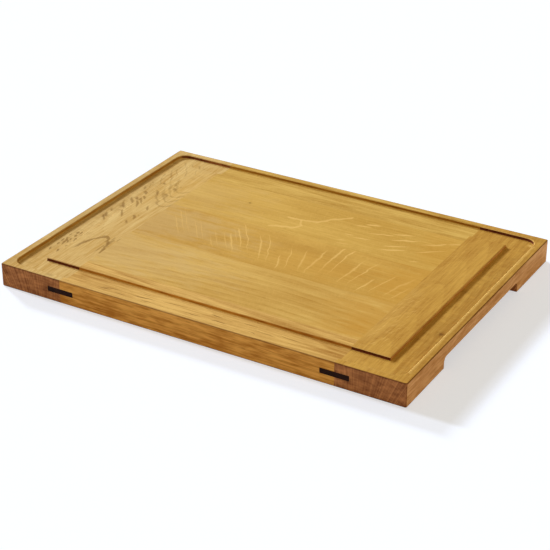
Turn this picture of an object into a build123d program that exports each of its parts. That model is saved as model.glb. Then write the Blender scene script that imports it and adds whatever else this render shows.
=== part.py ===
from build123d import *
import os

# Serving board glued up from solid boards: two end boards with the grain across,
# lengthwise boards between them, and a dark loose tongue in each of the two end joints.
# Millimetres. X runs along the board, Y across it, Z up.
# The origin is the middle of the underside.

# The board as a whole
board_length = 485.0
board_width = 350.0
board_thickness = 27.0
plan_corner_radius = 2.0
arris_radius = 1.2

# The boards it is glued up from
end_board_width = 78.0
edge_board_width = 50.0
field_board_count = 3

# Loose tongue in the joint of each end board, its ends showing on both long sides
tongue_width = 32.0
tongue_thickness = 6.0
tongue_height = 13.5
glue_gap = 0.05
slot_bottom_room = 0.4

# Juice trough cut round the top
trough_margin = 8.0
trough_width = 28.4
trough_depth = 3.4
trough_wall_draft = 0.3
trough_foot_radius = 1.5
lip_ease_depth = 0.5
lip_ease_run = 0.9

# Finger grip under each end
grip_length = 182.0
grip_height = 12.0
grip_depth = 17.0
grip_plan_radius = 12.0
grip_roof_radius = 5.0

# How far a cut reaches past the wood
overrun = 2.0

# Lengths that follow from the ones above
joint_x = board_length / 2 - end_board_width
field_board_width = (board_width - 2 * edge_board_width) / field_board_count
slot_width = tongue_width + 2 * slot_bottom_room
slot_height = tongue_thickness + 2 * glue_gap
through_width = board_width + 2 * overrun
through_height = board_thickness + 2 * overrun
straight_half_width = board_width / 2 - plan_corner_radius

# Middle line of the trough, a rectangle round the board
trough_half_width = trough_width / 2
trough_line_x = board_length / 2 - trough_margin - trough_half_width
trough_line_y = board_width / 2 - trough_margin - trough_half_width

# Section of the trough: a flat floor, a steep wall up each side, rounded where it
# meets the floor, and a small eased lip
floor_z = board_thickness - trough_depth
wall_top_z = board_thickness - lip_ease_depth
wall_top_x = trough_half_width - lip_ease_run
floor_half_width = wall_top_x - trough_wall_draft

os.makedirs("parts", exist_ok=True)

# Right half of the trough's section, standing on its middle line
with BuildSketch(Plane.XZ) as half_section:
    with BuildLine():
        Polyline(
            (0, floor_z),
            (floor_half_width, floor_z),
            (wall_top_x, wall_top_z),
            (trough_half_width, board_thickness),
            (trough_half_width, board_thickness + overrun),
            (0, board_thickness + overrun),
            close=True,
        )
    make_face()
    floor_ends = half_section.vertices().group_by(Axis.Y)[0].sort_by(Axis.X)
    fillet(floor_ends[-1], trough_foot_radius)

# The round that the cutter leaves where its path turns a corner
with BuildPart() as corner_cut:
    add(half_section.sketch)
    revolve(axis=Axis.Z)

# The straight cuts between the corners
with BuildPart() as short_side_cut:
    with BuildSketch(Plane.XZ.offset(-trough_line_y)):
        add(half_section.sketch_local)
        mirror(about=Plane.YZ)
    extrude(amount=2 * trough_line_y)

with BuildPart() as long_side_cut:
    with BuildSketch(Plane.YZ.offset(-trough_line_x)):
        add(half_section.sketch_local)
        mirror(about=Plane.YZ)
    extrude(amount=2 * trough_line_x)

with BuildPart() as trough:
    with Locations((-trough_line_x, 0), (trough_line_x, 0)):
        add(short_side_cut.part)
    with Locations((0, -trough_line_y), (0, trough_line_y)):
        add(long_side_cut.part)
    with GridLocations(2 * trough_line_x, 2 * trough_line_y, 2, 2):
        add(corner_cut.part)

# Finger grip under the right end, open at the end and at the underside.
# Its ends are round in plan and its roof turns down into the wall in a cove.
with BuildPart() as grip_cut:
    with BuildSketch(Plane.XY.offset(-overrun)):
        with Locations((board_length / 2 + overrun, 0)):
            Rectangle(grip_depth + overrun, grip_length, align=(Align.MAX, Align.CENTER))
    extrude(amount=grip_height + overrun)
    fillet(grip_cut.edges().filter_by(Axis.Z).group_by(Axis.X)[0], grip_plan_radius)
    roof_edges = grip_cut.faces().sort_by(Axis.Z)[-1].edges()
    fillet(roof_edges.sort_by(Axis.X)[:-1], grip_roof_radius)

# The slot for the tongue in the right joint, through from side to side
with BuildPart() as right_slot:
    with Locations((joint_x, 0, tongue_height)):
        Box(slot_width, through_width, slot_height)

# The whole glued-up blank, which each board is a slice of.
# One easing runs round the top, the underside and the mouth of each grip.
with BuildPart() as blank:
    with BuildSketch():
        RectangleRounded(board_length, board_width, plan_corner_radius)
    extrude(amount=board_thickness)
    add(grip_cut.part, mode=Mode.SUBTRACT)
    mirror(grip_cut.part, about=Plane.YZ, mode=Mode.SUBTRACT)
    faces_upward = blank.faces().sort_by(Axis.Z)
    rims = faces_upward[0].edges() + faces_upward[-1].edges()
    faces_rightward = blank.faces().sort_by(Axis.X)
    end_edges = faces_rightward[0].edges() + faces_rightward[-1].edges()
    mouths = end_edges.filter_by_position(
        Axis.Y, -straight_half_width, straight_half_width, (False, False)
    ).filter_by_position(Axis.Z, 0, board_thickness, (False, False))
    fillet(rims + mouths, arris_radius)

# End boards
with BuildPart() as right_end_board:
    with Locations((joint_x, 0, board_thickness / 2)):
        Box(
            end_board_width + overrun,
            through_width,
            through_height,
            align=(Align.MIN, Align.CENTER, Align.CENTER),
        )
    add(blank.part, mode=Mode.INTERSECT)
    add(trough.part, mode=Mode.SUBTRACT)
    add(right_slot.part, mode=Mode.SUBTRACT)

right_end_board.part.label = "right_end_board"
export_step(right_end_board.part, "parts/right_end_board.step")

with BuildPart() as left_end_board:
    mirror(right_end_board.part, about=Plane.YZ)

left_end_board.part.label = "left_end_board"
export_step(left_end_board.part, "parts/left_end_board.step")

# Everything that is cut out of the lengthwise boards
with BuildPart() as lengthwise_cuts:
    add(trough.part)
    add(right_slot.part)
    mirror(right_slot.part, about=Plane.YZ)

# Edge boards, which carry the long sides of the trough
with BuildPart() as rear_edge_board:
    with Locations((0, board_width / 2 - edge_board_width, board_thickness / 2)):
        Box(
            2 * joint_x,
            edge_board_width + overrun,
            through_height,
            align=(Align.CENTER, Align.MIN, Align.CENTER),
        )
    add(blank.part, mode=Mode.INTERSECT)
    add(lengthwise_cuts.part, mode=Mode.SUBTRACT)

rear_edge_board.part.label = "rear_edge_board"
export_step(rear_edge_board.part, "parts/rear_edge_board.step")

with BuildPart() as front_edge_board:
    mirror(rear_edge_board.part, about=Plane.XZ)

front_edge_board.part.label = "front_edge_board"
export_step(front_edge_board.part, "parts/front_edge_board.step")

# Field boards, numbered from the rear
for number in range(field_board_count):
    field_board_y = board_width / 2 - edge_board_width - (number + 0.5) * field_board_width
    with BuildPart() as field_board:
        with Locations((0, field_board_y, board_thickness / 2)):
            Box(2 * joint_x, field_board_width, board_thickness)
        add(lengthwise_cuts.part, mode=Mode.SUBTRACT)
    field_board.part.label = f"field_board_{number + 1}"
    export_step(field_board.part, f"parts/{field_board.part.label}.step")

# Loose tongues, flush with both long sides
with BuildPart() as right_tongue:
    with Locations((joint_x, 0, tongue_height)):
        Box(tongue_width, board_width, tongue_thickness)

right_tongue.part.label = "right_tongue"
export_step(right_tongue.part, "parts/right_tongue.step")

with BuildPart() as left_tongue:
    mirror(right_tongue.part, about=Plane.YZ)

left_tongue.part.label = "left_tongue"
export_step(left_tongue.part, "parts/left_tongue.step")
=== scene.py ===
"""Dresses a glued-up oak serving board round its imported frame.

The board is two cross-grain end boards, five lengthwise boards and two dark loose
tongues. Each piece follows its CAD node's shape and gets its own timber, lit on a
pale floor by soft studio light.
"""
from __future__ import annotations
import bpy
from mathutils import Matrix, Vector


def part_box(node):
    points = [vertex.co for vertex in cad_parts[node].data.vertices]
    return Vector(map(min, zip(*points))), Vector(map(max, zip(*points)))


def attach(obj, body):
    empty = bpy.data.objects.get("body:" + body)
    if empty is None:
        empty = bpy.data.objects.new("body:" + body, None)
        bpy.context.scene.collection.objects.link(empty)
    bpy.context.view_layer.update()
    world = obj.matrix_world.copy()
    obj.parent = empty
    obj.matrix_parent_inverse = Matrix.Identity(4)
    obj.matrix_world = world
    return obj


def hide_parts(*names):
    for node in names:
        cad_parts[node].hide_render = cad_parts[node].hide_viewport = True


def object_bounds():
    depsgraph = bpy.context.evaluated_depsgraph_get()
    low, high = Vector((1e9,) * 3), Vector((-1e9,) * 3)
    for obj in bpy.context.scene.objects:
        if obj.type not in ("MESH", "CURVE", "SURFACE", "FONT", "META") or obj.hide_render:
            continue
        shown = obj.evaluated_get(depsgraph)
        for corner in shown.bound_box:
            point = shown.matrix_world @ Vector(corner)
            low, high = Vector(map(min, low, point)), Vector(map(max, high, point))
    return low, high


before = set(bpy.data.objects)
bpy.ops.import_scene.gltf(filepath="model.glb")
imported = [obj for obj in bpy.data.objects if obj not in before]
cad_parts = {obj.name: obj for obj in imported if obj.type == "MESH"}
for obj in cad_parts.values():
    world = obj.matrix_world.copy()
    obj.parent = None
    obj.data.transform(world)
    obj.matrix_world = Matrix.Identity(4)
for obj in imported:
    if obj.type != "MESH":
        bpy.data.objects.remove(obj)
cad_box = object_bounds()

import copy
import logging
import math
from dataclasses import dataclass
from enum import Enum
from typing import ClassVar, Mapping, Sequence, TypeVar

import bmesh
import bpy
from mathutils import Matrix, Vector

log = logging.getLogger("serving_board")

MM = 0.001
Colour = tuple[float, float, float, float]
Value = TypeVar("Value")

# Half the serving board's length and width, and its height, in metres and in millimetres.
OVERALL = Vector(cad_box[1])
OVERALL_MM = OVERALL / MM


def srgb(red: float, green: float, blue: float) -> Colour:
    """Turn a colour picked on a 0 to 255 display scale into the linear one that shaders use.

    Args:
        red: Red, 0 to 255.
        green: Green, 0 to 255.
        blue: Blue, 0 to 255.

    Returns:
        The linear colour with full opacity.
    """
    def linear(level: float) -> float:
        """Return one channel as linear light."""
        share = level / 255
        return share / 12.92 if share <= 0.04045 else ((share + 0.055) / 1.055) ** 2.4

    return (linear(red), linear(green), linear(blue), 1.0)


# Colours that all the oak shares.
END_GRAIN_PALE = srgb(194, 134, 84)
END_GRAIN_DEEP = srgb(113, 66, 38)
# Pale rays; the same colour paints highlights.
PALE_RAY_AND_HIGHLIGHT_COLOUR = srgb(236, 198, 112)
WARM_WOOD = srgb(196, 142, 44)
# Paler, greyer wood, which on the field boards' left halves also stands for painted sheen.
MILKY_WOOD_AND_SHEEN = srgb(209, 181, 122)

# Painted shade, as what the oak's colour is multiplied by: on the trough's cut sides, deeper on
# their end grain, which also drinks more oil, and along the arrises, where it goes with their wear.
CUT_SHADE_TINT: Colour = (0.79, 0.7, 0.44, 1.0)
CUT_END_SHADE_TINT: Colour = (0.35, 0.2, 0.12, 1.0)
ARRIS_SHADE_AND_WEAR_TINT: Colour = (0.3, 0.2, 0.15, 1.0)
# Painted shade for the long sides that face the lamps, which takes their light down.
LIT_SIDE_SHADE_TINT: Colour = (0.8, 0.66, 0.52, 1.0)

# Millimetres: the height of features that vary over the broad faces alone, how far in from the
# outer sides the trough's masks start and are full, how wide the painted shade and wear along an
# arris reach, and how far along a board its rings bow by their full arch.
TALL = 60.0
INSIDE_START, INSIDE_FULL = 4.0, 6.0
ARRIS_FADE = 1.6
ARCH_REACH = 150.0

# How far the nicks stray from their line, along it and across it, and how their cutters differ.
NICK_STRAY = Vector((0.012, 0.0006, 0.0006))
NICK_TURN = Vector((0.5, 0.5, 0.5))
NICK_SMALLEST = Vector((0.8, 0.25, 0.25))
NICK_LARGEST = Vector((2.4, 0.6, 0.6))

TONGUE_STATIONS = 36
TONGUE_CORNER_STEPS = 3
SENSOR_WIDTH = 36.0
FLOOR_REACH = 6.0
# The floor lies a hair under the board, so that the two share no plane.
FLOOR_LEVEL = -0.1 * MM


class Wire:
    """One output of a shader node, which adds, scales and compares like a number."""

    def __init__(self, graph: "ShaderGraph", socket: bpy.types.NodeSocket) -> None:
        """Keep the graph that the socket belongs to."""
        self.graph = graph
        self.socket = socket

    def math(self, operation: str, *values: "Wire | float") -> "Wire":
        """Join values in a Math node.

        Args:
            operation: The Math node's operation.
            values: What goes into its sockets, in order.

        Returns:
            The node's output.
        """
        node = self.graph.node("ShaderNodeMath", {"operation": operation}, dict(enumerate(values)))
        return Wire(self.graph, node.outputs[0])

    def __add__(self, other: "Wire | float") -> "Wire":
        """Return the sum."""
        return self.math("ADD", self, other)

    def __radd__(self, other: float) -> "Wire":
        """Return the sum with a number on the left."""
        return self.math("ADD", other, self)

    def __sub__(self, other: "Wire | float") -> "Wire":
        """Return the difference."""
        return self.math("SUBTRACT", self, other)

    def __rsub__(self, other: float) -> "Wire":
        """Return a number less this."""
        return self.math("SUBTRACT", other, self)

    def __mul__(self, other: "Wire | float") -> "Wire":
        """Return the product."""
        return self.math("MULTIPLY", self, other)

    def __rmul__(self, other: float) -> "Wire":
        """Return the product with a number on the left."""
        return self.math("MULTIPLY", other, self)

    def __truediv__(self, other: "Wire | float") -> "Wire":
        """Return the quotient."""
        return self.math("DIVIDE", self, other)

    def __pow__(self, other: "Wire | float") -> "Wire":
        """Return this raised to a power."""
        return self.math("POWER", self, other)

    def __abs__(self) -> "Wire":
        """Return the size without its sign."""
        return self.math("ABSOLUTE", self)

    def root(self) -> "Wire":
        """Return the square root."""
        return self.math("SQRT", self)

    def fraction(self) -> "Wire":
        """Return what is left after the whole number."""
        return self.math("FRACT", self)

    def step(self, low: float, high: float) -> "Wire":
        """Rise smoothly from 0 at low to 1 at high, or fall where low is the larger.

        Args:
            low: Where the step starts.
            high: Where the step ends.

        Returns:
            A value from 0 to 1.
        """
        settings = {"interpolation_type": "SMOOTHSTEP"}
        ends = (high, low, 1.0, 0.0) if low > high else (low, high, 0.0, 1.0)
        inputs = dict(zip(("Value", "From Min", "From Max", "To Min", "To Max"), (self, *ends)))
        return Wire(self.graph, self.graph.node("ShaderNodeMapRange", settings, inputs).outputs[0])

    def lowest(self, other: "Wire | float") -> "Wire":
        """Return the smaller of the two."""
        return self.math("MINIMUM", self, other)

    def highest(self, other: "Wire | float") -> "Wire":
        """Return the larger of the two."""
        return self.math("MAXIMUM", self, other)


class NodeGraph:
    """A node tree that is written in code."""

    def __init__(self, tree: bpy.types.NodeTree) -> None:
        """Keep the tree."""
        self.tree = tree

    def node(
        self, kind: str, settings: Mapping | None = None, inputs: Mapping | None = None
    ) -> bpy.types.Node:
        """Add a node.

        Args:
            kind: The node's type.
            settings: Its properties, set before its sockets.
            inputs: A value, a wire or another node's socket for each socket, by name or place.

        Returns:
            The node.
        """
        made = self.tree.nodes.new(kind)
        for key, value in (settings or {}).items():
            setattr(made, key, value)
        for key, value in (inputs or {}).items():
            source = value.socket if isinstance(value, Wire) else value
            if isinstance(source, bpy.types.NodeSocket):
                self.tree.links.new(source, made.inputs[key])
            else:
                made.inputs[key].default_value = source
        return made


class ShaderGraph(NodeGraph):
    """The node tree of a material or of the surroundings, written as sums."""

    def __init__(self, owner: bpy.types.Material | bpy.types.World) -> None:
        """Empty the owner's tree.

        Args:
            owner: The material or the surroundings.
        """
        owner.use_nodes = True
        super().__init__(owner.node_tree)
        self.owner = owner
        self.tree.nodes.clear()

    def wire(self, node: bpy.types.Node, output: str | int = 0) -> Wire:
        """Return one of a node's outputs."""
        return Wire(self, node.outputs[output])

    def vector(self, x: Wire | float, y: Wire | float, z: Wire | float) -> Wire:
        """Return a vector made of three values."""
        return self.wire(self.node("ShaderNodeCombineXYZ", None, {0: x, 1: y, 2: z}))

    def split(self, vector: Wire) -> tuple[Wire, Wire, Wire]:
        """Return a vector's three values."""
        node = self.node("ShaderNodeSeparateXYZ", None, {0: vector})
        return self.wire(node, 0), self.wire(node, 1), self.wire(node, 2)

    def noise(self, vector: Wire, detail: float = 2.0, roughness: float = 0.5) -> Wire:
        """Return smooth noise, mostly from 0.3 to 0.7, at a point already scaled.

        Args:
            vector: The point, where one unit is about one feature.
            detail: How many finer layers are added.
            roughness: How strong each finer layer is.

        Returns:
            The noise.
        """
        inputs = {"Vector": vector, "Scale": 1.0, "Detail": detail, "Roughness": roughness}
        return self.wire(self.node("ShaderNodeTexNoise", {"noise_dimensions": "3D"}, inputs))

    def mix(
        self, share: Wire | float, first: Wire | Colour, second: Wire | Colour, blend: str = "MIX"
    ) -> Wire:
        """Mix two colours.

        Args:
            share: How much of the second is used, 0 to 1.
            first: The first colour.
            second: The second colour.
            blend: How they are blended.

        Returns:
            The mixed colour.
        """
        settings = {"data_type": "RGBA", "blend_type": blend, "clamp_factor": True}
        return self.wire(self.node("ShaderNodeMix", settings, {0: share, 6: first, 7: second}), 2)

    def tint(self, share: Wire, colour: Wire, tint: Wire | Colour) -> Wire:
        """Return a colour that is multiplied by a tint, by a share of 0 to 1."""
        return self.mix(share, colour, self.mix(1.0, colour, tint, "MULTIPLY"))

    def seen(self) -> Wire:
        """Tell what the camera sees from what lights other things.

        Returns:
            1 for rays from the camera, a reflection or glass, and 0 for all others.
        """
        path = self.node("ShaderNodeLightPath")
        rays = (self.wire(path, f"Is {kind} Ray") for kind in ("Camera", "Glossy", "Transmission"))
        return sum(rays, 0.0).step(0.0, 1.0)

    def finish(self, shader: bpy.types.Node) -> bpy.types.Material | bpy.types.World:
        """Join the shader to the output.

        Args:
            shader: The last shader node.

        Returns:
            The tree's owner.
        """
        world = isinstance(self.owner, bpy.types.World)
        inputs = {"Surface": self.wire(shader)}
        self.node("ShaderNodeOutputWorld" if world else "ShaderNodeOutputMaterial", None, inputs)
        return self.owner


class Grain(Enum):
    """The way a board's fibres run."""

    LENGTHWISE = "along X"
    CROSSWISE = "along Y"


class Tone(Enum):
    """How a mark differs from the wood round it."""

    # Pale rays, and also painted highlights.
    PALE_AND_HIGHLIGHT = "pale ray"
    DARK = "dark growth line"
    WARM = "warmer wood"
    # Paler, greyer wood, and painted sheen towards the left.
    MILKY_AND_SHEEN = "paler, greyer wood"


class Surface:
    """Where a shaded point lies, in millimetres, and which way it faces."""

    def __init__(self, graph: ShaderGraph) -> None:
        """Read the point's place and normal from the object's own coordinates.

        Args:
            graph: The tree that it is read in.
        """
        self.graph = graph
        places = graph.node("ShaderNodeTexCoord")
        self.x, self.y, self.z = (value / MM for value in graph.split(graph.wire(places, "Object")))
        self.facing_x, self.facing_y, self.facing_z = graph.split(graph.wire(places, "Normal"))
        self.upward = abs(self.facing_z).step(0.5, 0.8)

    def noise(self, x: float, y: float, z: float, seed: float, detail: float = 2.0) -> Wire:
        """Return noise around zero whose features have the given sizes.

        Args:
            x: Length of a feature, in millimetres.
            y: Its width.
            z: Its height.
            seed: Shift that makes each call differ.
            detail: How many finer layers are added.

        Returns:
            The noise, mostly from -0.2 to 0.2.
        """
        point = self.graph.vector(self.x / x + seed, self.y / y, self.z / z - seed)
        return self.graph.noise(point, detail) - 0.5

    def waver(self, size: float, seed: float) -> Wire:
        """Return noise around zero that varies over the broad faces, in features of one size."""
        return self.noise(size, size, TALL, seed)

    def leaning(self, slope: float) -> "Surface":
        """Return the same point in a frame that leans over.

        Args:
            slope: How far X and Y lean.

        Returns:
            The point.
        """
        leaning = copy.copy(self)
        leaning.x, leaning.y = self.x + self.y * slope, self.y - self.x * slope
        return leaning


@dataclass(frozen=True)
class Polish:
    """How a wood's surface takes the light.

    Attributes:
        roughness: Its roughness, before what the grain adds.
        gloss: Its specular level.
        bump: How strongly the grain stands out, 0 to 1.
        depth: How far it stands out, in metres.
    """

    roughness: float
    gloss: float
    bump: float
    depth: float

    def finish(
        self, graph: ShaderGraph, colour: Wire, height: Wire, rougher: Wire
    ) -> bpy.types.Material:
        """Make the wood's shader and end its tree.

        Args:
            graph: The material's tree.
            colour: The wood's colour.
            height: How the grain stands out.
            rougher: What the grain adds to the roughness.

        Returns:
            The material.
        """
        inputs = {"Strength": self.bump, "Distance": self.depth, "Height": height}
        bump = graph.node("ShaderNodeBump", None, inputs)
        inputs = {
            "Base Color": colour,
            "Roughness": rougher + self.roughness,
            "Normal": graph.wire(bump),
            "Specular IOR Level": self.gloss,
        }
        return graph.finish(graph.node("ShaderNodeBsdfPrincipled", None, inputs))


OAK_POLISH = Polish(0.74, 0.07, 0.22, 0.12 * MM)
DARK_POLISH = Polish(0.5, 0.05, 0.2, 0.1 * MM)


@dataclass(frozen=True)
class Mark:
    """Part of the figure that shows on a board's broad faces; painted highlights and sheen are
    marks too.

    Attributes:
        middle: Its middle, in millimetres from the middle of the serving board.
        strength: How clearly it shows, 0 to 1.
        tone: How it differs from the wood round it.
    """

    middle: tuple[float, float]
    strength: float
    tone: Tone = Tone.DARK

    def offsets(self, spot: Surface) -> tuple[Wire, Wire]:
        """Return how far a point lies from the middle, along X and Y."""
        return spot.x - self.middle[0], spot.y - self.middle[1]

    def mask(self, spot: Surface, seed: float) -> Wire:
        """Return where the mark shows, 0 to 1.

        Args:
            spot: The shaded point.
            seed: The board's own shift.

        Returns:
            The mask.
        """
        raise NotImplementedError


@dataclass(frozen=True)
class Strokes(Mark):
    """A patch of tapering marks, such as pale rays or dark growth lines.

    Attributes:
        reach: Half the patch's length and width, in millimetres.
        run: The way the marks mostly run.
        size: Half the width and half the length of a mark, in millimetres.
        gap: How far apart marks stand, sideways and end to end, in millimetres.
        lean: Their slope at the left of the patch and at its right.
        keep: Share of the marks that show.
        waver: How far they wander sideways, in millimetres.
        scatter: How unevenly they stand, 0 to 1.
    """

    reach: tuple[float, float] = (50.0, 50.0)
    run: Grain = Grain.CROSSWISE
    size: tuple[float, float] = (1.0, 10.0)
    gap: tuple[float, float] = (8.0, 25.0)
    lean: tuple[float, float] = (0.0, 0.0)
    keep: float = 0.7
    waver: float = 2.0
    scatter: float = 0.8

    def mask(self, spot: Surface, seed: float) -> Wire:
        """Return where the marks show.

        Args:
            spot: The shaded point.
            seed: The board's own shift.

        Returns:
            The mask.
        """
        graph = spot.graph
        away_x, away_y = self.offsets(spot)
        reach_x, reach_y = self.reach
        left, right = self.lean
        slope = left + away_x.step(-reach_x, reach_x) * (right - left)
        crosswise = self.run is Grain.CROSSWISE
        side, length = (away_x, away_y) if crosswise else (away_y, away_x)
        side = side - length * slope + spot.waver(16.0, seed + 9.0) * (self.waver * 4)

        gap_side, gap_length = self.gap
        place = (side / gap_side + seed, length / gap_length + self.scatter / 2)
        inputs = {"Vector": graph.vector(*place, 0.0), "Scale": 1.0, "Randomness": self.scatter}
        cell = graph.node("ShaderNodeTexVoronoi", {"voronoi_dimensions": "2D"}, inputs)
        near_side, near_length, _ = graph.split(graph.wire(cell, "Position"))
        draw_width, draw_length, draw_keep = graph.split(graph.wire(cell, "Color"))
        off_side = abs(place[0] - near_side) * gap_side
        off_length = (place[1] - near_length) * gap_length
        half_width = self.size[0] * (0.6 + 0.8 * draw_width)
        half_length = self.size[1] * (0.55 + 0.9 * draw_length)
        taper = off_length / half_length
        body = 1.0 - taper * taper - off_side / half_width
        shown = body.step(0.0, 0.8) * draw_keep.step(1.0 - self.keep, 1.02 - self.keep)
        return shown * self._fade(away_x / reach_x, away_y / reach_y)

    def _fade(self, share_x: Wire, share_y: Wire) -> Wire:
        """Return 1 inside the patch, falling to 0 near its rim."""
        return abs(share_x).step(1.0, 0.85) * abs(share_y).step(1.0, 0.85)


@dataclass(frozen=True)
class Arcs(Mark):
    """Nested growth arcs where the saw has skimmed the rings. The middle is the first arc's tip.

    Attributes:
        half_width: Half the width of an arc, in millimetres.
        legs: How far its legs run along Y from the tip, in millimetres, below 0 towards the front.
        count: How many arcs are nested.
        pitch: How far apart they are, in millimetres.
        line: Width of the dark line, in millimetres.
    """

    half_width: float = 10.0
    legs: float = 15.0
    count: int = 1
    pitch: float = 14.0
    line: float = 1.8

    def mask(self, spot: Surface, seed: float) -> Wire:
        """Return where the arcs show.

        Args:
            spot: The shaded point.
            seed: The board's own shift.

        Returns:
            The mask.
        """
        away_x, away_y = self.offsets(spot)
        toward = math.copysign(1.0, self.legs)
        waver_x = spot.waver(14.0, seed) * 9.0
        waver_y = spot.waver(11.0, seed + 4.0) * 12.0
        share = abs(away_x + waver_x) / self.half_width
        depth = away_y * toward + waver_y - share ** 1.5 * abs(self.legs)
        steep = share.root() * (1.5 * abs(self.legs) / self.half_width)
        nested = depth / self.pitch + 0.5
        nearest = abs(nested.fraction() - 0.5) * self.pitch / (steep * steep + 1.0).root()
        broken = spot.waver(9.0, seed + 2.0)
        line = (nearest + broken * 5.0).step(self.line, self.line * 0.2)
        inside = nested.step(-0.01, 0.0) * nested.step(self.count + 0.01, self.count)
        return line * inside * share.step(1.05, 0.8)


@dataclass(frozen=True)
class Vein(Mark):
    """A single wandering streak that turns at a few points.

    Attributes:
        points: Where it goes, in millimetres from its middle.
        width: Its width, in millimetres.
        waver: How far it wanders, in millimetres.
    """

    points: Sequence[tuple[float, float]] = ((-10.0, 0.0), (10.0, 0.0))
    width: float = 3.0
    waver: float = 2.0

    def mask(self, spot: Surface, seed: float) -> Wire:
        """Return where the streak shows.

        Args:
            spot: The shaded point.
            seed: The board's own shift.

        Returns:
            The mask.
        """
        away_x, away_y = self.offsets(spot)
        away_x = away_x + spot.waver(9.0, seed + 6.0) * (self.waver * 4)
        away_y = away_y + spot.waver(9.0, seed + 8.0) * (self.waver * 4)
        nearest = self._distance(away_x, away_y, self.points[0], self.points[1])
        for start, end in zip(self.points[1:], self.points[2:]):
            nearest = nearest.lowest(self._distance(away_x, away_y, start, end))
        return nearest.step(self.width * 0.6, self.width * 0.1)

    def _distance(
        self, x: Wire, y: Wire, start: tuple[float, float], end: tuple[float, float]
    ) -> Wire:
        """Return how far a point lies from one straight stretch.

        Args:
            x: The point's place along X.
            y: The point's place along Y.
            start: Where the stretch starts.
            end: Where it ends.

        Returns:
            The distance, in millimetres.
        """
        reach_x, reach_y = end[0] - start[0], end[1] - start[1]
        length = math.hypot(reach_x, reach_y)
        along = (x - start[0]) * (reach_x / length) + (y - start[1]) * (reach_y / length)
        aside = (x - start[0]) * (-reach_y / length) + (y - start[1]) * (reach_x / length)
        past = (abs(along - length / 2) - length / 2).highest(0.0)
        return (past * past + aside * aside).root()


@dataclass(frozen=True)
class Patch(Mark):
    """A soft-edged patch where the wood is deeper in colour or of another tone, also used for
    painted sheen and a painted highlight.

    Attributes:
        reach: Half its length and width, in millimetres.
    """

    reach: tuple[float, float] = (20.0, 20.0)

    def mask(self, spot: Surface, seed: float) -> Wire:
        """Return where the patch shows.

        Args:
            spot: The shaded point.
            seed: The board's own shift.

        Returns:
            The mask.
        """
        away_x, away_y = self.offsets(spot)
        share_x, share_y = away_x / self.reach[0], away_y / self.reach[1]
        uneven = spot.noise(24.0, 7.0, TALL, seed + 3.0) * 1.5
        return ((share_x * share_x + share_y * share_y).root() + uneven).step(1.0, 0.2)


@dataclass(frozen=True)
class Knot(Mark):
    """A small round knot with a dark heart.

    Attributes:
        radius: Radius of its heart, in millimetres.
    """

    radius: float = 2.0

    def distance(self, spot: Surface) -> Wire:
        """Return how far a point lies from the heart, in heart radii."""
        away_x, away_y = self.offsets(spot)
        return (away_x * away_x + away_y * away_y).root() / self.radius

    def mask(self, spot: Surface, seed: float) -> Wire:
        """Return where the heart and its halo show."""
        distance = self.distance(spot) + spot.noise(2.0, 2.0, 9.0, seed) * 1.6
        return distance.step(1.2, 0.6) * 0.75 + distance.step(3.2, 1.0) * 0.25


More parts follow.
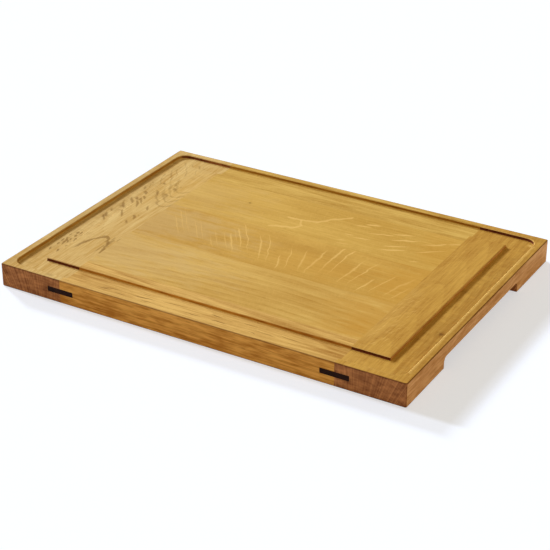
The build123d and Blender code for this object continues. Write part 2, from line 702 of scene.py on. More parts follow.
@dataclass(frozen=True)
class OakFinish:
    """Oiled oak sawn in one particular way.

    Attributes:
        name: The material's name.
        pale: Colour of the late wood.
        deep: Colour of the early wood.
        heart: Where the tree's middle lies, across and up from the board's middle, in millimetres.
        seed: Shift that makes each board differ.
        grain: The way the fibres run.
        taper: How fast the rings drift along the grain.
        arch: How far the rings bow at the ends of the board, in millimetres.
        arch_middle: Where along the board they turn, in millimetres.
        ring: Width of a year's ring, in millimetres.
        contrast: How clearly the rings show, 0 to 1.
        streaks: How strong the fine streaks along the grain are.
        side_shading_tint: What the colour is multiplied by on the long sides, as painted shade;
            above 1, as painted light.
        marks: Rays, growth lines and knots, with some patches and lines that are painted highlights
            and sheen.
        cut_shade_relief: Where the painted shade and oil tint on the trough's cut end grain are
            weaker, if anywhere.
        lip_highlight: How strongly a highlight is painted on the trough's lip, 0 to 1.
    """

    name: str
    pale: Colour
    deep: Colour
    heart: tuple[float, float]
    seed: float
    grain: Grain = Grain.LENGTHWISE
    taper: float = 0.0
    arch: float = 0.0
    arch_middle: float = 0.0
    ring: float = 3.0
    contrast: float = 0.3
    streaks: float = 1.0
    side_shading_tint: Colour = (1.0, 0.82, 0.66, 1.0)
    marks: Sequence[Mark] = ()
    cut_shade_relief: Mark | None = None
    lip_highlight: float = 0.0

    def build(self, middle: Vector) -> bpy.types.Material:
        """Make the material for one board.

        Args:
            middle: The board's middle.

        Returns:
            The material.
        """
        graph = ShaderGraph(bpy.data.materials.new(self.name))
        spot = Surface(graph)
        facing_end, _ = self._lying(spot.facing_x, spot.facing_y)
        end_share = abs(facing_end).step(0.35, 0.75)
        side_share = abs(spot.facing_z).step(0.75, 0.25) * (1.0 - end_share)

        out, rise = self._from_heart(spot, middle / MM)
        radius = (out * out + rise * rise).root() + self._along(spot) * self.taper
        uneven = graph.noise(graph.vector(radius / 11.0, self.seed, 0.5), 1.0) * 1.3
        year = (radius / self.ring + uneven).fraction()
        early = year.step(1.0, 0.1) * year.step(0.0, 0.06)

        streak = self._fibre_noise(spot, 60.0, 3.0, 3.0) * self.streaks
        fibre = self._fibre_noise(spot, 18.0, 0.8, 2.0) * self.streaks
        cloud = self._fibre_noise(spot, 140.0, 40.0, 2.0)
        swirl = self._fibre_noise(spot, 22.0, 5.0, 2.0)
        pore = self._fibre_noise(spot, 9.0, 0.6, 1.0).step(0.12, 0.22) * (0.35 + 0.65 * early)
        base = 0.42 * (1.0 - self.contrast)
        deepness = early * self.contrast + streak * 1.5 + fibre * 1.3 + cloud * 1.3
        deepness = deepness + side_share * swirl * 2.6 + base
        colour = graph.mix(deepness, self.pale, self.deep)
        colour = graph.mix(pore * (1.0 - end_share) * 0.4, colour, self._darker(0.5))
        colour = graph.mix(self._flecks(spot) * spot.upward * 0.09, colour, PALE_RAY_AND_HIGHLIGHT_COLOUR)
        tones = {
            Tone.PALE_AND_HIGHLIGHT: PALE_RAY_AND_HIGHLIGHT_COLOUR,
            Tone.DARK: self._darker(0.42),
            Tone.WARM: WARM_WOOD,
            Tone.MILKY_AND_SHEEN: MILKY_WOOD_AND_SHEEN,
        }
        for mark in self.marks:
            share = mark.mask(spot, self.seed) * spot.upward * mark.strength
            colour = graph.mix(share, colour, tones[mark.tone])

        # Painted shade on the long sides, and painted light where the tint is above 1.
        colour = graph.tint(side_share, colour, self.side_shading_tint)
        end_tone = self._end_tone(graph, out, rise, year, streak)
        colour = graph.mix(end_share, colour, graph.mix(end_tone, END_GRAIN_PALE, END_GRAIN_DEEP))
        # Painted shade on the trough's cut sides, deepest on their end grain, where it also stands
        # for the oil that end grain drinks.
        cut = self._trough_shade_mask(spot)
        # Where the painted shade on the cut end grain is weaker.
        shade_relief = self.cut_shade_relief.mask(spot, self.seed) * self.cut_shade_relief.strength if self.cut_shade_relief else 0.0
        trough_shade_tint = graph.mix(end_share * (1.0 - shade_relief), CUT_SHADE_TINT, CUT_END_SHADE_TINT)
        colour = graph.tint(cut, colour, trough_shade_tint)
        # Painted highlight along the trough's lip.
        colour = graph.mix(self._lip_highlight_mask(spot) * self.lip_highlight, colour, PALE_RAY_AND_HIGHLIGHT_COLOUR)
        # Painted shade along the outer arrises, together with their wear.
        colour = graph.tint(self._arris_shade_and_wear(spot), colour, ARRIS_SHADE_AND_WEAR_TINT)

        height = fibre * 0.5 + streak * 0.6 - pore * 1.6 - early * 0.25
        rougher = cloud * 0.25 + pore * 0.15 + streak * 0.15
        return OAK_POLISH.finish(graph, colour, height, rougher)

    def _lying(self, x: Value, y: Value) -> tuple[Value, Value]:
        """Return the values for X and Y, or the other way round where the grain runs along Y."""
        return (x, y) if self.grain is Grain.LENGTHWISE else (y, x)

    def _flecks(self, spot: Surface) -> Wire:
        """Return faint short flecks that lie slanting across the grain."""
        sizes = self._lying(1.6, 9.0)
        return spot.leaning(0.4).noise(*sizes, 20.0, self.seed + 13.0, 1.0).step(0.02, 0.2)

    def _along(self, spot: Surface) -> Wire:
        """Return the place along the grain."""
        return self._lying(spot.x, spot.y)[0]

    def _fibre_noise(self, spot: Surface, length: float, width: float, detail: float) -> Wire:
        """Return noise drawn out along the grain, with features of one length and width."""
        return spot.noise(*self._lying(length, width), width, self.seed, detail)

    def _from_heart(self, spot: Surface, middle: Vector) -> tuple[Wire, Wire]:
        """Return how far a point lies across and up from the tree's middle.

        Args:
            spot: The shaded point.
            middle: The board's middle, in millimetres.

        Returns:
            Both distances, bent by the tree's uneven growth and round its knots.
        """
        along, across = self._lying(spot.x, spot.y)
        _, start = self._lying(middle.x, middle.y)
        bowed = (along - self.arch_middle) / ARCH_REACH
        out = across - (start + self.heart[0]) + bowed * bowed * self.arch
        out = out + self._fibre_noise(spot, 250.0, 70.0, 1.0) * 9.0
        out = out + self._fibre_noise(spot, 600.0, 200.0, 0.0) * 22.0
        for mark in self.marks:
            if isinstance(mark, Knot):
                out = out + mark.distance(spot).step(6.0, 0.0) * (1.6 * mark.radius)
        return out, spot.z - (middle.z + self.heart[1])

    def _darker(self, share: float) -> Colour:
        """Return the deep colour brought down to a warm share of itself."""
        red, green, blue, _ = self.deep
        return (red * share * 1.05, green * share * 0.88, blue * share * 0.5, 1.0)

    def _end_tone(
        self, graph: ShaderGraph, out: Wire, rise: Wire, year: Wire, streak: Wire
    ) -> Wire:
        """Return how deep the end grain is: faint rings crossed by fine rays from the heart.

        Args:
            graph: The material's tree.
            out: How far the point lies across from the tree's middle.
            rise: How far it lies above it.
            year: The share of the year's ring.
            streak: The streaks along the grain.

        Returns:
            The depth, mostly from 0 to 1.
        """
        bearing = out / (abs(rise) + 20.0)
        rays = graph.noise(graph.vector(bearing * 40.0, self.seed, 0.0), 3.0, 0.65) - 0.5
        blotch = graph.noise(graph.vector(out / 16.0, rise / 7.0, self.seed), 2.0) - 0.5
        return 0.5 + (year - 0.5) * 0.16 + rays * 2.2 + streak * 0.5 + blotch * 1.6

    def _inside(self, spot: Surface) -> Wire:
        """Return 1 on everything that lies well in from the board's outer sides."""
        inner_x = abs(spot.x).step(OVERALL_MM.x - INSIDE_START, OVERALL_MM.x - INSIDE_FULL)
        return inner_x * abs(spot.y).step(OVERALL_MM.y - INSIDE_START, OVERALL_MM.y - INSIDE_FULL)

    def _trough_shade_mask(self, spot: Surface) -> Wire:
        """Return 1 on the steep cut sides of the trough, where shade is painted."""
        high = spot.z.step(OVERALL_MM.z - 6.0, OVERALL_MM.z - 5.0)
        return self._inside(spot) * high * abs(spot.facing_z).step(0.97, 0.75)

    def _lip_highlight_mask(self, spot: Surface) -> Wire:
        """Return 1 on the trough's eased lip, where a highlight is painted."""
        high = spot.z.step(OVERALL_MM.z - 0.6, OVERALL_MM.z - 0.4)
        return self._inside(spot) * high * abs(spot.facing_z).step(0.99, 0.9)

    def _arris_shade_and_wear(self, spot: Surface) -> Wire:
        """Return 1 along the outer arrises, where shade and wear are painted, fading within a
        couple of millimetres.

        Args:
            spot: The shaded point.

        Returns:
            The mask.
        """
        reach_x, reach_y, reach_z = OVERALL_MM.x, OVERALL_MM.y, OVERALL_MM.z / 2
        near_x = abs(spot.x).step(reach_x - ARRIS_FADE, reach_x)
        near_y = abs(spot.y).step(reach_y - ARRIS_FADE, reach_y)
        near_z = abs(spot.z - reach_z).step(reach_z - ARRIS_FADE, reach_z)
        return near_x * near_z + near_y * near_z + near_x * near_y


@dataclass(frozen=True)
class DarkWood:
    """Near-black hardwood of the loose tongues.

    Attributes:
        name: The material's name.
        pale: Colour of its lighter lines.
        deep: Colour of its ground.
    """

    name: str = "dark_tongue_wood"
    pale: Colour = srgb(48, 24, 16)
    deep: Colour = srgb(22, 9, 5)

    def build(self) -> bpy.types.Material:
        """Make the material, its fibres along Y.

        Returns:
            The material.
        """
        graph = ShaderGraph(bpy.data.materials.new(self.name))
        spot = Surface(graph)
        bands = spot.noise(6.0, 120.0, 1.1, 3.0, 3.0)
        pores = spot.noise(0.6, 11.0, 0.6, 5.0, 1.0)
        colour = graph.mix(bands.step(-0.2, 0.22), self.deep, self.pale)
        return DARK_POLISH.finish(graph, colour, bands + pores, pores * 0.3)


class ShapeTree(NodeGraph):
    """A Geometry Nodes tree with named inputs, which works along a line from Start to End."""

    def __init__(self, name: str, inputs: Mapping[str, str], takes_mesh: bool) -> None:
        """Make the tree's sockets and its line.

        Args:
            name: The tree's name.
            inputs: Kind of socket for each named input, besides Start, End and Material.
            takes_mesh: Whether the tree works on the mesh that it is put on.
        """
        super().__init__(bpy.data.node_groups.new(name, "GeometryNodeTree"))
        face = self.tree.interface
        if takes_mesh:
            face.new_socket(name="Geometry", in_out="INPUT", socket_type="NodeSocketGeometry")
        kinds = {"Start": "Vector", "End": "Vector", **inputs, "Material": "Material"}
        self.sockets = {
            key: face.new_socket(
                name=key, in_out="INPUT", socket_type=f"NodeSocket{kind}"
            ).identifier
            for key, kind in kinds.items()
        }
        face.new_socket(name="Geometry", in_out="OUTPUT", socket_type="NodeSocketGeometry")
        self.source = self.tree.nodes.new("NodeGroupInput")
        ends = {"Start": self.given("Start"), "End": self.given("End")}
        self.line = self.node("GeometryNodeCurvePrimitiveLine", None, ends).outputs[0]

    def given(self, name: str) -> bpy.types.NodeSocket:
        """Return one of the tree's own inputs."""
        return self.source.outputs[name]

    def finish(self, geometry: bpy.types.NodeSocket) -> None:
        """End the tree in Realize Instances and Set Material.

        Args:
            geometry: What the tree has made.
        """
        real = self.node("GeometryNodeRealizeInstances", None, {"Geometry": geometry})
        inputs = {"Geometry": real.outputs[0], "Material": self.given("Material")}
        painted = self.node("GeometryNodeSetMaterial", None, inputs)
        self.node("NodeGroupOutput", None, {0: painted.outputs[0]})

    def apply(self, piece: bpy.types.Object, values: Mapping[str, object]) -> None:
        """Run the tree on a piece and keep the result as its plain mesh.

        Args:
            piece: The object whose mesh is made.
            values: A value for each named input.
        """
        modifier = piece.modifiers.new(self.tree.name, "NODES")
        modifier.node_group = self.tree
        for key, value in values.items():
            modifier[self.sockets[key]] = value
        piece.update_tag()
        keep_evaluated(piece)


def keep_evaluated(piece: bpy.types.Object) -> None:
    """Turn a piece's evaluated shape into its plain mesh and drop its modifiers.

    Args:
        piece: The piece.
    """
    bpy.context.view_layer.update()
    evaluated = piece.evaluated_get(bpy.context.evaluated_depsgraph_get())
    mesh = bpy.data.meshes.new_from_object(evaluated)
    piece.modifiers.clear()
    piece.data = mesh
    mesh.name = piece.name


def new_piece(name: str, mesh: bpy.types.Mesh) -> bpy.types.Object:
    """Make an object at the origin.

    Args:
        name: Its name.
        mesh: Its mesh.

    Returns:
        The object.
    """
    piece = bpy.data.objects.new(name, mesh)
    bpy.context.scene.collection.objects.link(piece)
    return piece


def random_span(tree: ShapeTree, low: Vector, high: Vector, shift: int) -> bpy.types.NodeSocket:
    """Return a random vector for each point, from the tree's own seed.

    Args:
        tree: The tree that it goes in.
        low: Its lowest values.
        high: Its highest values.
        shift: Sets this draw apart from the tree's others.

    Returns:
        The random vector's socket.
    """
    inputs = {0: tree.given("Seed"), 1: float(shift)}
    seed = tree.node("ShaderNodeMath", {"operation": "ADD"}, inputs)
    whole = tree.node("FunctionNodeFloatToInt", None, {0: seed.outputs[0]})
    inputs = {0: low, 1: high, "Seed": whole.outputs[0]}
    return tree.node("FunctionNodeRandomValue", {"data_type": "FLOAT_VECTOR"}, inputs).outputs[0]


def nick_tree() -> ShapeTree:
    """Build the tree that knocks small nicks out of an arris.

    Returns:
        The tree: flattened round cutters stand along a line and are taken out of the mesh.
    """
    kinds = {"Count": "Int", "Size": "Float", "Seed": "Int"}
    tree = ShapeTree("arris_nicks", kinds, takes_mesh=True)
    inputs = {0: tree.line, 1: tree.given("Count")}
    points = tree.node("GeometryNodeCurveToPoints", {"mode": "COUNT"}, inputs)
    jitter = random_span(tree, -NICK_STRAY, NICK_STRAY, 1)
    inputs = {"Geometry": points.outputs[0], "Offset": jitter}
    moved = tree.node("GeometryNodeSetPosition", None, inputs)
    inputs = {"Radius": tree.given("Size"), "Subdivisions": 2}
    ball = tree.node("GeometryNodeMeshIcoSphere", None, inputs)
    stretch = random_span(tree, NICK_SMALLEST, NICK_LARGEST, 2)
    turn = random_span(tree, -NICK_TURN, NICK_TURN, 3)
    inputs = {
        "Points": moved.outputs[0],
        "Instance": ball.outputs[0],
        "Rotation": turn,
        "Scale": stretch,
    }
    cutters = tree.node("GeometryNodeInstanceOnPoints", None, inputs)
    solid = tree.node("GeometryNodeRealizeInstances", None, {"Geometry": cutters.outputs[0]})
    inputs = {0: tree.given("Geometry"), 1: solid.outputs[0]}
    settings = {"operation": "DIFFERENCE", "solver": "EXACT"}
    cut = tree.node("GeometryNodeMeshBoolean", settings, inputs)
    tree.finish(cut.outputs[0])
    return tree


def tongue_tree() -> ShapeTree:
    """Build the tree that makes a loose tongue: a soft-cornered section run along a line.

    Returns:
        The tree.
    """
    kinds = {"Width": "Float", "Thickness": "Float", "Corner": "Float"}
    tree = ShapeTree("loose_tongue", kinds, takes_mesh=False)
    path = tree.node("GeometryNodeSetCurveNormal", {"mode": "Z_UP"}, {"Curve": tree.line})
    inputs = {"Curve": path.outputs[0], "Count": TONGUE_STATIONS}
    stations = tree.node("GeometryNodeResampleCurve", None, inputs)
    inputs = {"Width": tree.given("Width"), "Height": tree.given("Thickness")}
    section = tree.node("GeometryNodeCurvePrimitiveQuadrilateral", None, inputs)
    inputs = {
        "Curve": section.outputs[0],
        "Radius": tree.given("Corner"),
        "Count": TONGUE_CORNER_STEPS,
        "Limit Radius": True,
    }
    soft = tree.node("GeometryNodeFilletCurve", {"mode": "POLY"}, inputs)
    inputs = {"Curve": stations.outputs[0], "Profile Curve": soft.outputs[0], "Fill Caps": True}
    tree.finish(tree.node("GeometryNodeCurveToMesh", None, inputs).outputs[0])
    return tree


@dataclass(frozen=True)
class NickLine:
    """A stretch of arris with small nicks in it.

    Attributes:
        start: One end, as shares of half the serving board's length, width and height.
        end: The other end, in the same shares.
        count: How many nicks it has.
        size: Radius of the tool or knock that made them, in millimetres.
        seed: Fixes where they fall.
    """

    start: tuple[float, float, float]
    end: tuple[float, float, float]
    count: int
    size: float
    seed: int


@dataclass
class OakBoard:
    """One of the glued boards.

    Attributes:
        node: Name of its CAD node.
        finish: Its timber.
        nicks: Stretches of arris with nicks.
        chipped_corner: Depth of the chip off its front, right, top corner, in millimetres, or 0.
    """

    node: str
    finish: OakFinish
    nicks: Sequence[NickLine] = ()
    chipped_corner: float = 0.0

    WELD_GAP: ClassVar[float] = 0.001 * MM
    FLAT_LIMIT: ClassVar[float] = math.radians(0.5)
    SHARP_LIMIT: ClassVar[float] = math.radians(18)
    CHIP_FACING: ClassVar[Vector] = Vector((1.0, -1.3, 0.9)).normalized()

    def make(self, nick_cutter: ShapeTree) -> bpy.types.Object:
        """Build the board's mesh, dress it and put it in its node's place.

        Args:
            nick_cutter: The tree that makes the nicks.

        Returns:
            The finished piece.
        """
        low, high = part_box(self.node)
        material = self.finish.build((low + high) / 2)
        piece = new_piece(f"{self.node}_oak", self._solid_mesh())
        piece.data.materials.append(material)
        for nicks in self.nicks:
            values = {
                "Start": Vector(nicks.start) * OVERALL,
                "End": Vector(nicks.end) * OVERALL,
                "Count": nicks.count,
                "Size": nicks.size * MM,
                "Seed": nicks.seed,
                "Material": material,
            }
            nick_cutter.apply(piece, values)
        self._shade(piece)
        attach(piece, "root")
        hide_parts(self.node)
        return piece

    def _solid_mesh(self) -> bpy.types.Mesh:
        """Join up a copy of the node's shape and chip its corner.

        Returns:
            The mesh.
        """
        body = bmesh.new()
        body.from_mesh(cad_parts[self.node].data)
        bmesh.ops.remove_doubles(body, verts=body.verts, dist=self.WELD_GAP)
        if self.chipped_corner:
            self._chip(body)
        bmesh.ops.dissolve_limit(
            body, angle_limit=self.FLAT_LIMIT, verts=body.verts, edges=body.edges
        )
        bmesh.ops.triangulate(body, faces=[face for face in body.faces if len(face.verts) > 4])
        mesh = bpy.data.meshes.new(self.node)
        body.to_mesh(mesh)
        body.free()
        return mesh

    def _chip(self, body: bmesh.types.BMesh) -> None:
        """Slice a small slanting facet off the front, right, top corner.

        Args:
            body: The board's shape.
        """
        corner = Vector((OVERALL.x, -OVERALL.y, OVERALL.z))
        facing = self.CHIP_FACING
        geometry = [*body.verts, *body.edges, *body.faces]
        place = corner - facing * self.chipped_corner * MM
        cut = bmesh.ops.bisect_plane(
            body, geom=geometry, plane_co=place, plane_no=facing, clear_outer=True
        )
        rim = [item for item in cut["geom_cut"] if isinstance(item, bmesh.types.BMEdge)]
        bmesh.ops.holes_fill(body, edges=rim, sides=0)

    def _shade(self, piece: bpy.types.Object) -> None:
        """Shade curved faces smoothly and keep arrises and joints crisp.

        Args:
            piece: The board.
        """
        piece.data.shade_smooth()
        piece.data.set_sharp_from_angle(angle=self.SHARP_LIMIT)
        weighted = piece.modifiers.new("even_light", "WEIGHTED_NORMAL")
        weighted.keep_sharp = True
        weighted.weight = 100
        keep_evaluated(piece)


@dataclass
class LooseTongue:
    """A dark tongue across one end joint.

    Attributes:
        node: Name of its CAD node.
        corner: Radius of its long edges, in millimetres.
    """

    node: str
    corner: float = 0.25

    def make(self, shaper: ShapeTree, material: bpy.types.Material) -> bpy.types.Object:
        """Build the tongue inside its node's space.

        Args:
            shaper: The tree that makes its shape.
            material: Its timber.

        Returns:
            The finished piece.
        """
        low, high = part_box(self.node)
        middle = (low + high) / 2
        piece = new_piece(f"{self.node}_wood", bpy.data.meshes.new(self.node))
        values = {
            "Start": Vector((middle.x, low.y, middle.z)),
            "End": Vector((middle.x, high.y, middle.z)),
            "Width": high.x - low.x,
            "Thickness": high.z - low.z,
            "Corner": self.corner * MM,
            "Material": material,
        }
        shaper.apply(piece, values)
        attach(piece, "root")
        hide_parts(self.node)
        return piece


@dataclass
class Camera:
    """The photograph's viewpoint.

    Attributes:
        azimuth: Degrees round from the front towards the right end.
        elevation: Degrees above the table.
        distance: Metres from the middle of the underside.
        aside: How far the view is shifted right and up, in metres.
        lens: Focal length, in millimetres.
    """

    azimuth: float = 30.406
    elevation: float = 28.005
    distance: float = 1.7854
    aside: tuple[float, float] = (-0.003673, -0.002105)
    lens: float = 106.74

    def make(self) -> bpy.types.Object:
        """Place the camera and make it the scene's own.

        Returns:
            The camera.
        """
        turn = math.radians(self.azimuth)
        lift = math.radians(self.elevation)
        level = math.cos(lift)
        back = Vector((math.sin(turn) * level, -math.cos(turn) * level, math.sin(lift)))
        right = Vector((math.cos(turn), math.sin(turn), 0.0))
        up = back.cross(right)
        data = bpy.data.cameras.new("viewpoint")
        data.lens = self.lens
        data.sensor_width = SENSOR_WIDTH
        camera = bpy.data.objects.new("viewpoint", data)
        bpy.context.scene.collection.objects.link(camera)
        place = back * self.distance + right * self.aside[0] + up * self.aside[1]
        turned = Matrix((right, up, back)).transposed().to_4x4()
        camera.matrix_world = Matrix.Translation(place) @ turned
        bpy.context.scene.camera = camera
        return camera


@dataclass(frozen=True)
class SoftLamp:
    """A far, wide lamp.

    Attributes:
        name: The lamp's name.
        towards: Direction from the board to the lamp, for each unit of height.
        share: Brightness that it gives a white, level surface.
        spread: How wide it looks, in degrees.
        colour: Its colour.
    """

    name: str
    towards: tuple[float, float, float]
    share: float
    spread: float
    colour: tuple[float, float, float] = (1.0, 1.0, 1.0)

    def make(self) -> None:
        """Hang the lamp."""
        towards = Vector(self.towards)
        data = bpy.data.lights.new(self.name, "SUN")
        data.energy = self.share * math.pi * towards.length / towards.z
        data.angle = math.radians(self.spread)
        data.color = self.colour
        lamp = bpy.data.objects.new(self.name, data)
        lamp.matrix_world = towards.to_track_quat("Z", "Y").to_matrix().to_4x4()
        bpy.context.scene.collection.objects.link(lamp)


@dataclass
class Studio:
    """A pale floor, two low lamps at the left, a weak one at the right, and warm light all round.

    Attributes:
        ambient: Brightness of the light from all round.
        ambient_colour: Its colour.
        lamps: The lamps.
        floor_colour: The floor's colour, as the light on the board meets it.
        floor_seen: Its colour as the camera sees it.
        floor_glow: Light that the camera sees it give off, which makes its unshaded parts white.
    """

    ambient: float = 0.32
    ambient_colour: Colour = (1.02, 0.77, 0.46, 1.0)
    lamps: Sequence[SoftLamp] = (
        SoftLamp("left_key", (-2.3, 0.12, 1.0), 0.28, 6.0, (0.96, 1.05, 1.25)),
        SoftLamp("rear_key", (-2.0, 1.0, 1.0), 0.285, 8.0, (0.96, 1.05, 1.25)),
        SoftLamp("right_fill", (2.0, -1.0, 1.0), 0.09, 40.0, (1.0, 0.88, 0.7)),
    )
    floor_colour: Colour = (0.88, 0.88, 0.88, 1.0)
    floor_seen: Colour = (0.50, 0.55, 0.62, 1.0)
    floor_glow: Colour = (0.51, 0.5202, 0.5406, 1.0)

    def make(self) -> None:
        """Build the floor, the surroundings and the lights."""
        self._floor()
        self._surroundings()
        for lamp in self.lamps:
            lamp.make()

    def _floor(self) -> None:
        """Lay a wide pale floor that keeps the board's shadow."""
        mesh = bpy.data.meshes.new("floor")
        signs = ((-1, -1), (1, -1), (1, 1), (-1, 1))
        corners = [(x * FLOOR_REACH, y * FLOOR_REACH, FLOOR_LEVEL) for x, y in signs]
        mesh.from_pydata(corners, [], [(0, 1, 2, 3)])
        floor = new_piece("floor", mesh)
        graph = ShaderGraph(bpy.data.materials.new("pale_floor"))
        seen = graph.seen()
        inputs = {
            "Base Color": graph.mix(seen, self.floor_colour, self.floor_seen),
            "Roughness": 1.0,
            "Specular IOR Level": 0.0,
            "Emission Color": graph.mix(seen, (0.0, 0.0, 0.0, 1.0), self.floor_glow),
            "Emission Strength": 1.0,
        }
        paint = graph.finish(graph.node("ShaderNodeBsdfPrincipled", None, inputs))
        floor.data.materials.append(paint)

    def _surroundings(self) -> None:
        """Light everything evenly from all round, and show white where the floor ends."""
        graph = ShaderGraph(bpy.data.worlds.new("white_room"))
        light = tuple(level * self.ambient for level in self.ambient_colour[:3]) + (1.0,)
        inputs = {"Color": graph.mix(graph.seen(), light, (1.0, 1.0, 1.0, 1.0)), "Strength": 1.0}
        bpy.context.scene.world = graph.finish(graph.node("ShaderNodeBackground", None, inputs))


LEFT_END = OakFinish(
    name="left_end_oak",
    grain=Grain.CROSSWISE,
    pale=srgb(224, 194, 124),
    deep=srgb(193, 151, 73),
    heart=(14.0, -90.0),
    seed=2.0,
    taper=-0.05,
    ring=3.4,
    contrast=0.16,
    side_shading_tint=LIT_SIDE_SHADE_TINT,
    marks=(
        Strokes(
            (-202.0, 30.0), 0.6, reach=(23.0, 62.0), size=(3.2, 8.5), gap=(9.5, 14.0),
            lean=(-0.75, -0.6), keep=0.55, scatter=0.9,
        ),
        Strokes(
            (-206.0, 112.0), 0.32, reach=(20.0, 44.0), size=(1.4, 12.0), gap=(7.0, 20.0),
            lean=(-0.5, -0.4), keep=0.7,
        ),
        Strokes(
            (-216.0, -91.0), 0.68, reach=(9.0, 30.0), size=(2.2, 5.0), gap=(5.5, 8.0),
            lean=(-0.3, -0.3),
        ),
        Strokes((-168.0, -80.0), 0.5, reach=(5.0, 36.0), size=(2.2, 9.0), gap=(7.0, 20.0)),
        Arcs((-175.0, 28.0), 0.42, half_width=23.0, legs=32.0, count=4, pitch=14.0, line=2.2),
        Arcs((-181.0, -66.0), 0.66, half_width=20.0, legs=-40.0, line=3.0),
        Patch((-236.0, 0.0), 0.26, reach=(34.0, 240.0)),
        Patch((-216.0, 13.0), 0.38, reach=(5.0, 7.0)),
        Patch((-219.0, -19.0), 0.38, reach=(4.5, 7.0)),
        Patch((-181.0, -169.0), 0.35, reach=(8.0, 4.0)),
        Patch((-168.0, 85.0), 0.3, Tone.PALE_AND_HIGHLIGHT, reach=(48.0, 62.0)),
    ),
    # The painted shade on the trough's cut end grain is weaker towards the rear left.
    cut_shade_relief=Patch((-172.0, 162.0), 1.0, reach=(62.0, 50.0)),
)
REAR_EDGE = OakFinish(
    name="rear_edge_oak",
    pale=srgb(219, 183, 94),
    deep=srgb(181, 137, 52),
    heart=(-6.0, -90.0),
    seed=11.0,
    taper=0.012,
    contrast=0.3,
    side_shading_tint=LIT_SIDE_SHADE_TINT,
)
FIELD_REAR = OakFinish(
    name="field_oak_rear",
    pale=srgb(219, 181, 90),
    deep=srgb(189, 145, 56),
    heart=(8.0, -160.0),
    seed=23.0,
    taper=0.01,
    ring=4.0,
    contrast=0.12,
    streaks=0.6,
    marks=(
        # Partly painted sheen: paler and greyer towards the left.
        Patch((-165.0, 83.0), 0.2, Tone.MILKY_AND_SHEEN, reach=(130.0, 70.0)),
        Strokes(
            (105.0, 86.0), 0.75, Tone.PALE_AND_HIGHLIGHT, reach=(66.0, 38.0), run=Grain.LENGTHWISE,
            size=(2.6, 17.0), gap=(15.0, 34.0), lean=(0.3, 0.6), keep=0.8, waver=1.5,
        ),
        Vein(
            (-15.0, 79.0), 0.6, Tone.PALE_AND_HIGHLIGHT, width=5.0,
            points=((45.0, 33.0), (27.0, 18.0), (17.0, 5.0), (-3.0, 0.0), (-16.0, 0.0)),
        ),
        Vein(
            (-15.0, 78.0), 0.6, Tone.PALE_AND_HIGHLIGHT, width=5.0,
            points=((-1.0, 0.0), (5.0, -11.0), (-1.0, -20.0), (-26.0, -28.0)),
        ),
        Knot((-89.5, 88.5), 0.7, radius=1.4),
        Patch((160.0, 90.0), 0.3, Tone.WARM, reach=(50.0, 70.0)),
    ),
)
FIELD_MIDDLE = OakFinish(
    name="field_oak_middle",
    pale=srgb(214, 173, 82),
    deep=srgb(183, 137, 52),
    heart=(160.0, -10.0),
    seed=37.0,
    ring=2.4,
    contrast=0.12,
    streaks=0.6,
    marks=(
        # Partly painted sheen: paler and greyer towards the left.
        Patch((-165.0, 0.0), 0.42, Tone.MILKY_AND_SHEEN, reach=(170.0, 70.0)),
        Strokes(
            (-100.0, 0.0), 0.3, Tone.PALE_AND_HIGHLIGHT, reach=(52.0, 44.0),
            size=(1.1, 26.0), gap=(9.0, 84.0), lean=(-0.75, -0.7), keep=0.8, waver=1.0, scatter=0.5,
        ),
        Strokes(
            (-14.0, 0.0), 0.62, Tone.PALE_AND_HIGHLIGHT, reach=(56.0, 46.0),
            size=(1.5, 34.0), gap=(13.0, 96.0), lean=(-0.7, -0.3), keep=0.8, waver=1.4, scatter=0.5,
        ),
        Strokes(
            (100.0, 0.0), 0.66, Tone.PALE_AND_HIGHLIGHT, reach=(66.0, 46.0),
            size=(1.7, 36.0), gap=(15.0, 96.0), lean=(-0.05, 0.3), keep=0.8, waver=2.0, scatter=0.5,
        ),
        Patch((60.0, -6.0), 0.25, Tone.WARM, reach=(90.0, 34.0)),
        Patch((165.0, 0.0), 0.45, Tone.WARM, reach=(70.0, 60.0)),
    ),
)
FIELD_FRONT = OakFinish(
    name="field_oak_front",
    pale=srgb(217, 180, 95),
    deep=srgb(185, 140, 56),
    heart=(60.0, -70.0),
    seed=41.0,
    arch=17.0,
    arch_middle=40.0,
    ring=6.5,
    contrast=0.28,
    streaks=0.6,
    marks=(
        Patch((156.0, -106.0), 0.35, Tone.WARM, reach=(30.0, 26.0)),
        Patch((165.0, -85.0), 0.4, Tone.WARM, reach=(90.0, 70.0)),
        # Partly painted sheen: paler and greyer towards the left.
        Patch((-165.0, -83.0), 0.38, Tone.MILKY_AND_SHEEN, reach=(190.0, 70.0)),
    ),
)
FRONT_EDGE = OakFinish(
    name="front_edge_oak",
    pale=srgb(226, 186, 103),
    deep=srgb(177, 129, 56),
    heart=(4.0, -60.0),
    seed=53.0,
    taper=0.02,
    contrast=0.32,
    marks=(
        Strokes(
            (-5.0, -157.0), 0.85, reach=(130.0, 9.0), run=Grain.LENGTHWISE,
            size=(0.8, 16.0), gap=(4.5, 34.0), lean=(0.05, -0.05), keep=0.6, waver=1.2,
        ),
    ),
)
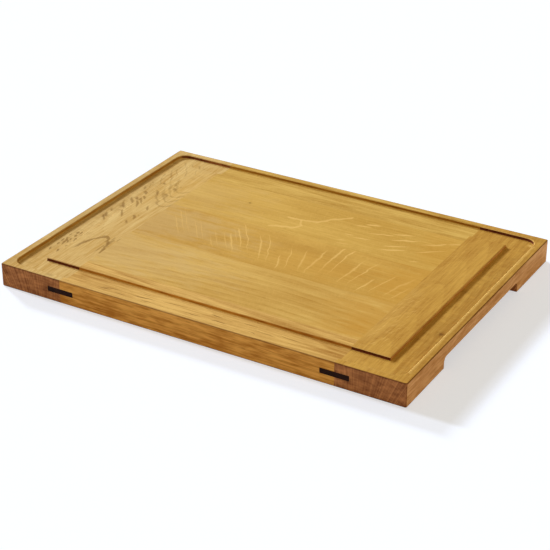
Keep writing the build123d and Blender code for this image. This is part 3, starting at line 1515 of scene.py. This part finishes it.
RIGHT_END = OakFinish(
    name="right_end_oak",
    grain=Grain.CROSSWISE,
    pale=srgb(204, 160, 70),
    deep=srgb(173, 124, 45),
    heart=(-20.0, -80.0),
    seed=67.0,
    taper=0.05,
    contrast=0.2,
    # Painted light: the right side's colour is lifted above the wood's own.
    side_shading_tint=(1.25, 1.25, 3.2, 1.0),
    marks=(
        Strokes(
            (178.0, -70.0), 0.4, Tone.PALE_AND_HIGHLIGHT, reach=(13.0, 62.0),
            size=(0.8, 6.0), gap=(6.0, 14.0), lean=(0.4, 0.4),
        ),
        Knot((227.5, -69.0), 0.85, radius=2.8),
        Patch((232.0, 0.0), 0.25, reach=(26.0, 240.0)),
        Patch((166.0, -75.0), 0.18, Tone.PALE_AND_HIGHLIGHT, reach=(26.0, 120.0)),
        # Painted highlight: a pale line along the right trough's outer lip, where the lamps catch
        # it.
        Vein(
            (235.4, 0.0), 0.34, Tone.PALE_AND_HIGHLIGHT, points=((0.0, -156.0), (0.0, 150.0)),
            width=3.6, waver=0.8,
        ),
        # Painted highlight: a bright spot at the trough's rear right outer corner.
        Patch((229.0, 157.0), 0.85, Tone.PALE_AND_HIGHLIGHT, reach=(5.0, 5.0)),
    ),
    lip_highlight=0.5,
)

FRONT_TOP_ARRIS = NickLine((-0.98, -1.0, 1.0), (0.98, -1.0, 1.0), 15, 0.9, 4)
BOARDS = (
    OakBoard("left_end_board", LEFT_END, (FRONT_TOP_ARRIS,)),
    OakBoard("rear_edge_board", REAR_EDGE),
    OakBoard("field_board_1", FIELD_REAR),
    OakBoard("field_board_2", FIELD_MIDDLE),
    OakBoard("field_board_3", FIELD_FRONT),
    OakBoard("front_edge_board", FRONT_EDGE, (FRONT_TOP_ARRIS,)),
    OakBoard("right_end_board", RIGHT_END, (FRONT_TOP_ARRIS,), chipped_corner=1.9),
)
TONGUES = (LooseTongue("left_tongue"), LooseTongue("right_tongue"))


def main() -> None:
    """Build the camera, the boards, the tongues and the studio, and report each piece."""
    logging.basicConfig(level=logging.INFO, format="%(name)s: %(message)s")
    bpy.context.scene.view_settings.view_transform = "Standard"
    Camera().make()
    nick_cutter = nick_tree()
    pieces = [board.make(nick_cutter) for board in BOARDS]
    shaper = tongue_tree()
    dark_wood = DarkWood().build()
    pieces += [tongue.make(shaper, dark_wood) for tongue in TONGUES]
    for piece in pieces:
        log.info("%s: %d faces", piece.name, len(piece.data.polygons))
    Studio().make()


if __name__ == "__main__":
    main()
